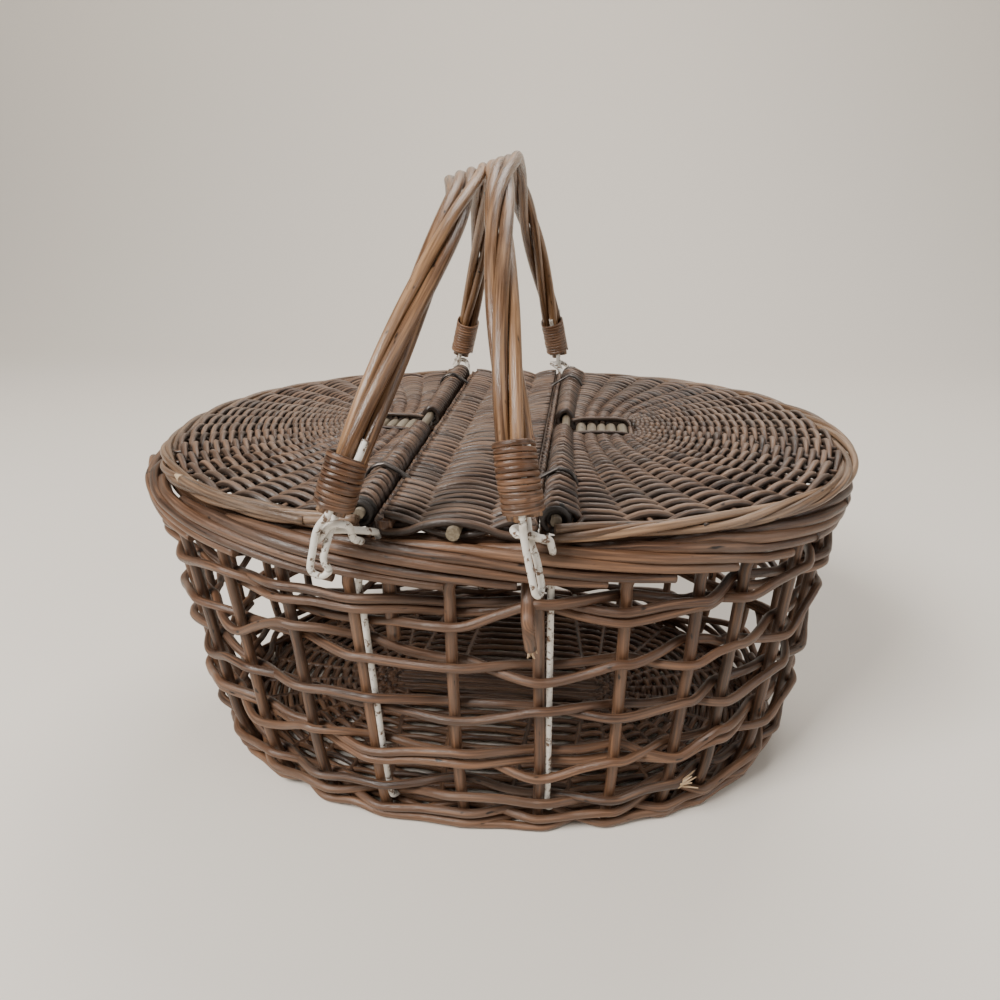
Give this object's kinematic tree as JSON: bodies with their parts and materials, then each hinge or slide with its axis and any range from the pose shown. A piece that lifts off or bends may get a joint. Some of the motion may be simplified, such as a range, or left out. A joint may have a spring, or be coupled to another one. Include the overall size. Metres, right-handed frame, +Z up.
{
  "type": "wicker picnic basket",
  "caption": "Oval open-sided wicker picnic basket with a fixed middle strip, hinged lids on both sides of it and swinging bow handles hung in wire staples.",
  "frame": {"origin": "middle of the flat underside of the floor", "axes": "+X along the basket's length towards the right lid, -Y the front with the pictured side, +Z up"},
  "size_m": [0.4516, 0.3928, 0.3837],
  "materials": {
    "side_willow": "dry reddish-brown peeled willow, slightly glossy on worn ridges",
    "lid_willow": "dry grey-brown woven willow",
    "handle_willow": "warm brown willow rods polished by hands",
    "wrap_skein": "orange-brown split willow skein",
    "slath_sticks": "pale khaki willow sticks",
    "white_wire": "thick wire with a worn off-white coating",
    "dark_wire": "bare darkened steel wire"
  },
  "bodies": {
    "root": {"floor_panel": "side_willow", "foot_border": "side_willow", "side_stakes_01": "side_willow", "side_stakes_02": "side_willow", "side_stakes_03": "side_willow", "side_stakes_04": "side_willow", "side_stakes_05": "side_willow", "side_stakes_06": "side_willow", "side_stakes_07": "side_willow", "side_stakes_08": "side_willow", "side_stakes_09": "side_willow", "side_stakes_10": "side_willow", "side_stakes_11": "side_willow", "side_stakes_12": "side_willow", "side_stakes_13": "side_willow", "side_stakes_14": "side_willow", "side_weaver_1": "side_willow", "side_weaver_2": "side_willow", "side_weaver_3": "side_willow", "side_weaver_4": "side_willow", "side_weaver_5": "side_willow", "side_weaver_6": "side_willow", "rim_rod_top": "side_willow", "rim_rod_middle": "side_willow", "rim_rod_bottom": "side_willow", "strip_panel": "lid_willow", "strip_stick_left": "lid_willow", "strip_stick_right": "lid_willow", "staple_left_front": "white_wire", "staple_left_back": "white_wire", "staple_right_front": "white_wire", "staple_right_back": "white_wire", "hinge_ring_left_front": "dark_wire", "hinge_ring_left_back": "dark_wire", "hinge_ring_right_front": "dark_wire", "hinge_ring_right_back": "dark_wire"},
    "lid_left": {"lid_left_panel": "lid_willow", "lid_left_border": "lid_willow", "lid_left_hinge_bar": "lid_willow", "lid_left_slath": "slath_sticks"},
    "lid_right": {"lid_right_panel": "lid_willow", "lid_right_border": "lid_willow", "lid_right_hinge_bar": "lid_willow", "lid_right_slath": "slath_sticks"},
    "handle_left": {"handle_left_rod_1": "handle_willow", "handle_left_rod_2": "handle_willow", "handle_left_rod_3": "handle_willow", "handle_left_rod_4": "handle_willow", "handle_left_wrap_front": "wrap_skein", "handle_left_wrap_back": "wrap_skein", "handle_left_eye_front": "white_wire", "handle_left_eye_back": "white_wire"},
    "handle_right": {"handle_right_rod_1": "handle_willow", "handle_right_rod_2": "handle_willow", "handle_right_rod_3": "handle_willow", "handle_right_rod_4": "handle_willow", "handle_right_wrap_front": "wrap_skein", "handle_right_wrap_back": "wrap_skein", "handle_right_eye_front": "white_wire", "handle_right_eye_back": "white_wire"}
  },
  "joints": [
    {"name": "lid_left_hinge", "type": "hinge", "parent": "root", "child": "lid_left", "pos_m": [-0.0478, 0, 0.2135], "axis": [0, 1, 0], "range_deg": [0, 85]},
    {"name": "lid_right_hinge", "type": "hinge", "parent": "root", "child": "lid_right", "pos_m": [0.0478, 0, 0.2135], "axis": [0, -1, 0], "range_deg": [0, 85]},
    {"name": "handle_left_swing", "type": "hinge", "parent": "root", "child": "handle_left", "pos_m": [-0.0545, 0, 0.2147], "axis": [0, -1, 0], "range_deg": [0, 95]},
    {"name": "handle_right_swing", "type": "hinge", "parent": "root", "child": "handle_right", "pos_m": [0.0373, 0, 0.2147], "axis": [0, 1, 0], "range_deg": [0, 90]}
  ]
}
